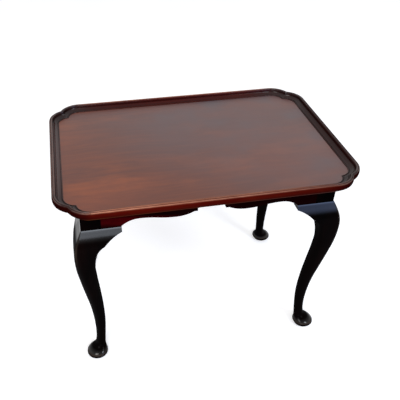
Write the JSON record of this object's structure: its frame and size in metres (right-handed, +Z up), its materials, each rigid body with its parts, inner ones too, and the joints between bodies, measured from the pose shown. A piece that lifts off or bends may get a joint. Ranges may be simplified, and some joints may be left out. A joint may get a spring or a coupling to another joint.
{
  "type": "tray top tea table",
  "caption": "Small rectangular tea table with a dished, notch-cornered moulded tray top, shaped aprons and cabriole legs on pad feet.",
  "frame": {"origin": "on the floor, under the middle of the tray", "axes": "+X along the table's length, +Y from the front to the back, +Z up"},
  "size_m": [0.71, 0.491, 0.534],
  "materials": {
    "tray_wood": "polished mahogany, grain along the table",
    "rim_wood": "dark polished mahogany",
    "frame_wood": "near-black stained mahogany, glossy polish",
    "inner_wood": "unpolished secondary wood",
    "screw_steel": "dull steel"
  },
  "bodies": {
    "root": {"apron_back": "frame_wood", "apron_front": "frame_wood", "apron_left": "frame_wood", "apron_right": "frame_wood", "button_back_1": "inner_wood", "button_back_2": "inner_wood", "button_front_1": "inner_wood", "button_front_2": "inner_wood", "button_left_1": "inner_wood", "button_left_2": "inner_wood", "button_right_1": "inner_wood", "button_right_2": "inner_wood", "corner_block_back_left": "inner_wood", "corner_block_back_right": "inner_wood", "corner_block_front_left": "inner_wood", "corner_block_front_right": "inner_wood", "knee_block_back_left": "frame_wood", "knee_block_back_right": "frame_wood", "knee_block_front_left": "frame_wood", "knee_block_front_right": "frame_wood", "knee_block_left_back": "frame_wood", "knee_block_left_front": "frame_wood", "knee_block_right_back": "frame_wood", "knee_block_right_front": "frame_wood", "leg_back_left": "frame_wood", "leg_back_right": "frame_wood", "leg_front_left": "frame_wood", "leg_front_right": "frame_wood", "rim_back": "rim_wood", "rim_corner_back_left": "rim_wood", "rim_corner_back_right": "rim_wood", "rim_corner_front_left": "rim_wood", "rim_corner_front_right": "rim_wood", "rim_front": "rim_wood", "rim_left": "rim_wood", "rim_right": "rim_wood", "tray_board": "tray_wood"}
  },
  "joints": []
}
